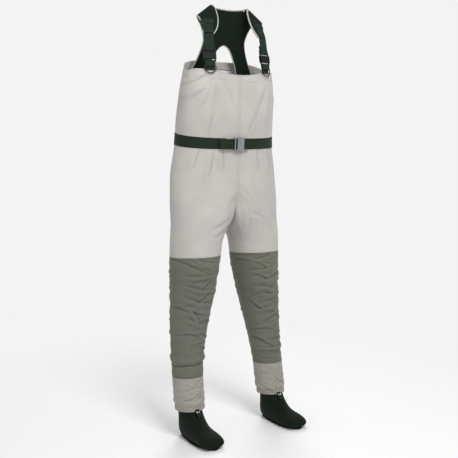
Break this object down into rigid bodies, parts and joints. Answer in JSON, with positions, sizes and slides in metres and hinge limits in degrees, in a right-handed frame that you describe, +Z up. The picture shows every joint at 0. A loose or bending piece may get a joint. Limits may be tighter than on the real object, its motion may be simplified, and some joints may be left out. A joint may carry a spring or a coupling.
{
  "type": "chest waders",
  "caption": "Breathable stocking-foot chest waders with neoprene socks, gravel guards, a buckled waist belt and a padded shoulder yoke.",
  "frame": {"origin": "on the floor plane, under the middle of the waders", "axes": "+Z up the legs and body, -Y the way the wearer faces, +X the wearer's left"},
  "size_m": [0.479, 0.3, 1.5748],
  "materials": {
    "upper_cloth": "plain weave, matt",
    "lower_cloth": "heavier plain weave, matt",
    "guard_cloth": "plain weave, matt",
    "lining": "smooth knit",
    "seam_tape": "satin film",
    "neoprene": "jersey-faced foam",
    "sole_neoprene": "ribbed foam",
    "yoke_pad": "jersey-faced foam",
    "binding": "grosgrain",
    "webbing": "woven",
    "elastic": "woven, gathered",
    "buckle": "satin acetal",
    "belt_buckle": "satin acetal",
    "d_ring": "satin",
    "hook_metal": "satin"
  },
  "bodies": {
    "waders": {"right_front_panel": "upper_cloth", "left_front_panel": "upper_cloth", "right_back_panel": "upper_cloth", "left_back_panel": "upper_cloth", "right_lower_leg_panel": "lower_cloth", "left_lower_leg_panel": "lower_cloth", "front_hem_facing": "upper_cloth", "back_hem_facing": "upper_cloth", "front_seam_tape": "seam_tape", "back_seam_tape": "seam_tape", "belt_strap": "webbing", "belt_loop": "webbing", "belt_end_fold": "webbing", "belt_buckle_socket": "belt_buckle", "yoke_plate": "yoke_pad", "yoke_binding": "binding", "right_gravel_guard": "guard_cloth", "right_hem_elastic": "elastic", "right_ankle_sleeve": "lining", "right_sock": "neoprene", "right_sock_sole": "sole_neoprene", "right_lace_hook_tab": "webbing", "right_lace_hook": "hook_metal", "right_strap_tab": "webbing", "right_strap_buckle_socket": "buckle", "right_strap_webbing": "webbing", "right_shoulder_wing": "yoke_pad", "right_wing_binding": "binding", "right_wing_webbing": "webbing", "right_shoulder_crest": "yoke_pad", "left_gravel_guard": "guard_cloth", "left_hem_elastic": "elastic", "left_ankle_sleeve": "lining", "left_sock": "neoprene", "left_sock_sole": "sole_neoprene", "left_lace_hook_tab": "webbing", "left_lace_hook": "hook_metal", "left_strap_tab": "webbing", "left_strap_buckle_socket": "buckle", "left_strap_webbing": "webbing", "left_shoulder_wing": "yoke_pad", "left_wing_binding": "binding", "left_wing_webbing": "webbing", "left_shoulder_crest": "yoke_pad"},
    "belt_plug": {"belt_buckle_plug": "belt_buckle", "belt_tail": "webbing"},
    "belt_prong_outer": {"belt_buckle_prong_outer": "belt_buckle"},
    "belt_prong_inner": {"belt_buckle_prong_inner": "belt_buckle"},
    "right_ring": {"right_d_ring": "d_ring"},
    "right_plug": {"right_strap_buckle_plug": "buckle", "right_strap_tail": "webbing"},
    "right_prong_outer": {"right_strap_buckle_prong_outer": "buckle"},
    "right_prong_inner": {"right_strap_buckle_prong_inner": "buckle"},
    "left_ring": {"left_d_ring": "d_ring"},
    "left_plug": {"left_strap_buckle_plug": "buckle", "left_strap_tail": "webbing"},
    "left_prong_outer": {"left_strap_buckle_prong_outer": "buckle"},
    "left_prong_inner": {"left_strap_buckle_prong_inner": "buckle"}
  },
  "joints": [
    {"name": "belt_plug_slide", "type": "slide", "parent": "waders", "child": "belt_plug", "axis": [-1, 0, 0], "range_m": [0, 0.022]},
    {"name": "belt_prong_outer_press", "type": "hinge", "parent": "belt_plug", "child": "belt_prong_outer", "pos_m": [-0.0003, -0.0721, 1.08736], "axis": [0, 0.9936, 0.1132], "range_deg": [0, 7], "stiffness_Nm_per_rad": 0.6},
    {"name": "belt_prong_inner_press", "type": "hinge", "parent": "belt_plug", "child": "belt_prong_inner", "pos_m": [-0.0003, -0.06905, 1.06053], "axis": [0, -0.9936, -0.1132], "range_deg": [0, 7], "stiffness_Nm_per_rad": 0.6},
    {"name": "right_plug_slide", "type": "slide", "parent": "waders", "child": "right_plug", "axis": [0.041, 0.1298, 0.9907], "range_m": [0, 0.022], "deforming": ["right_strap_webbing"]},
    {"name": "right_prong_outer_press", "type": "hinge", "parent": "right_plug", "child": "right_prong_outer", "pos_m": [-0.10389, -0.07471, 1.39001], "axis": [0.2229, 0.9654, -0.1357], "range_deg": [0, 7], "stiffness_Nm_per_rad": 0.6},
    {"name": "right_prong_inner_press", "type": "hinge", "parent": "right_plug", "child": "right_prong_inner", "pos_m": [-0.13019, -0.0686, 1.3903], "axis": [-0.2229, -0.9654, 0.1357], "range_deg": [0, 7], "stiffness_Nm_per_rad": 0.6},
    {"name": "left_plug_slide", "type": "slide", "parent": "waders", "child": "left_plug", "axis": [-0.041, 0.1298, 0.9907], "range_m": [0, 0.022], "deforming": ["left_strap_webbing"]},
    {"name": "left_prong_outer_press", "type": "hinge", "parent": "left_plug", "child": "left_prong_outer", "pos_m": [0.13019, -0.06927, 1.3903], "axis": [-0.2229, 0.9654, -0.1357], "range_deg": [0, 7], "stiffness_Nm_per_rad": 0.6},
    {"name": "left_prong_inner_press", "type": "hinge", "parent": "left_plug", "child": "left_prong_inner", "pos_m": [0.10389, -0.07538, 1.39001], "axis": [0.2229, -0.9654, 0.1357], "range_deg": [0, 7], "stiffness_Nm_per_rad": 0.6},
    {"name": "right_d_ring_swing", "type": "hinge", "parent": "waders", "child": "right_ring", "pos_m": [-0.11875, -0.07709, 1.34874], "axis": [-0.974, 0.2264, 0.0106], "range_deg": [0, 140]},
    {"name": "left_d_ring_swing", "type": "hinge", "parent": "waders", "child": "left_ring", "pos_m": [0.11875, -0.07775, 1.34874], "axis": [-0.974, -0.2264, -0.0106], "range_deg": [0, 140]}
  ]
}
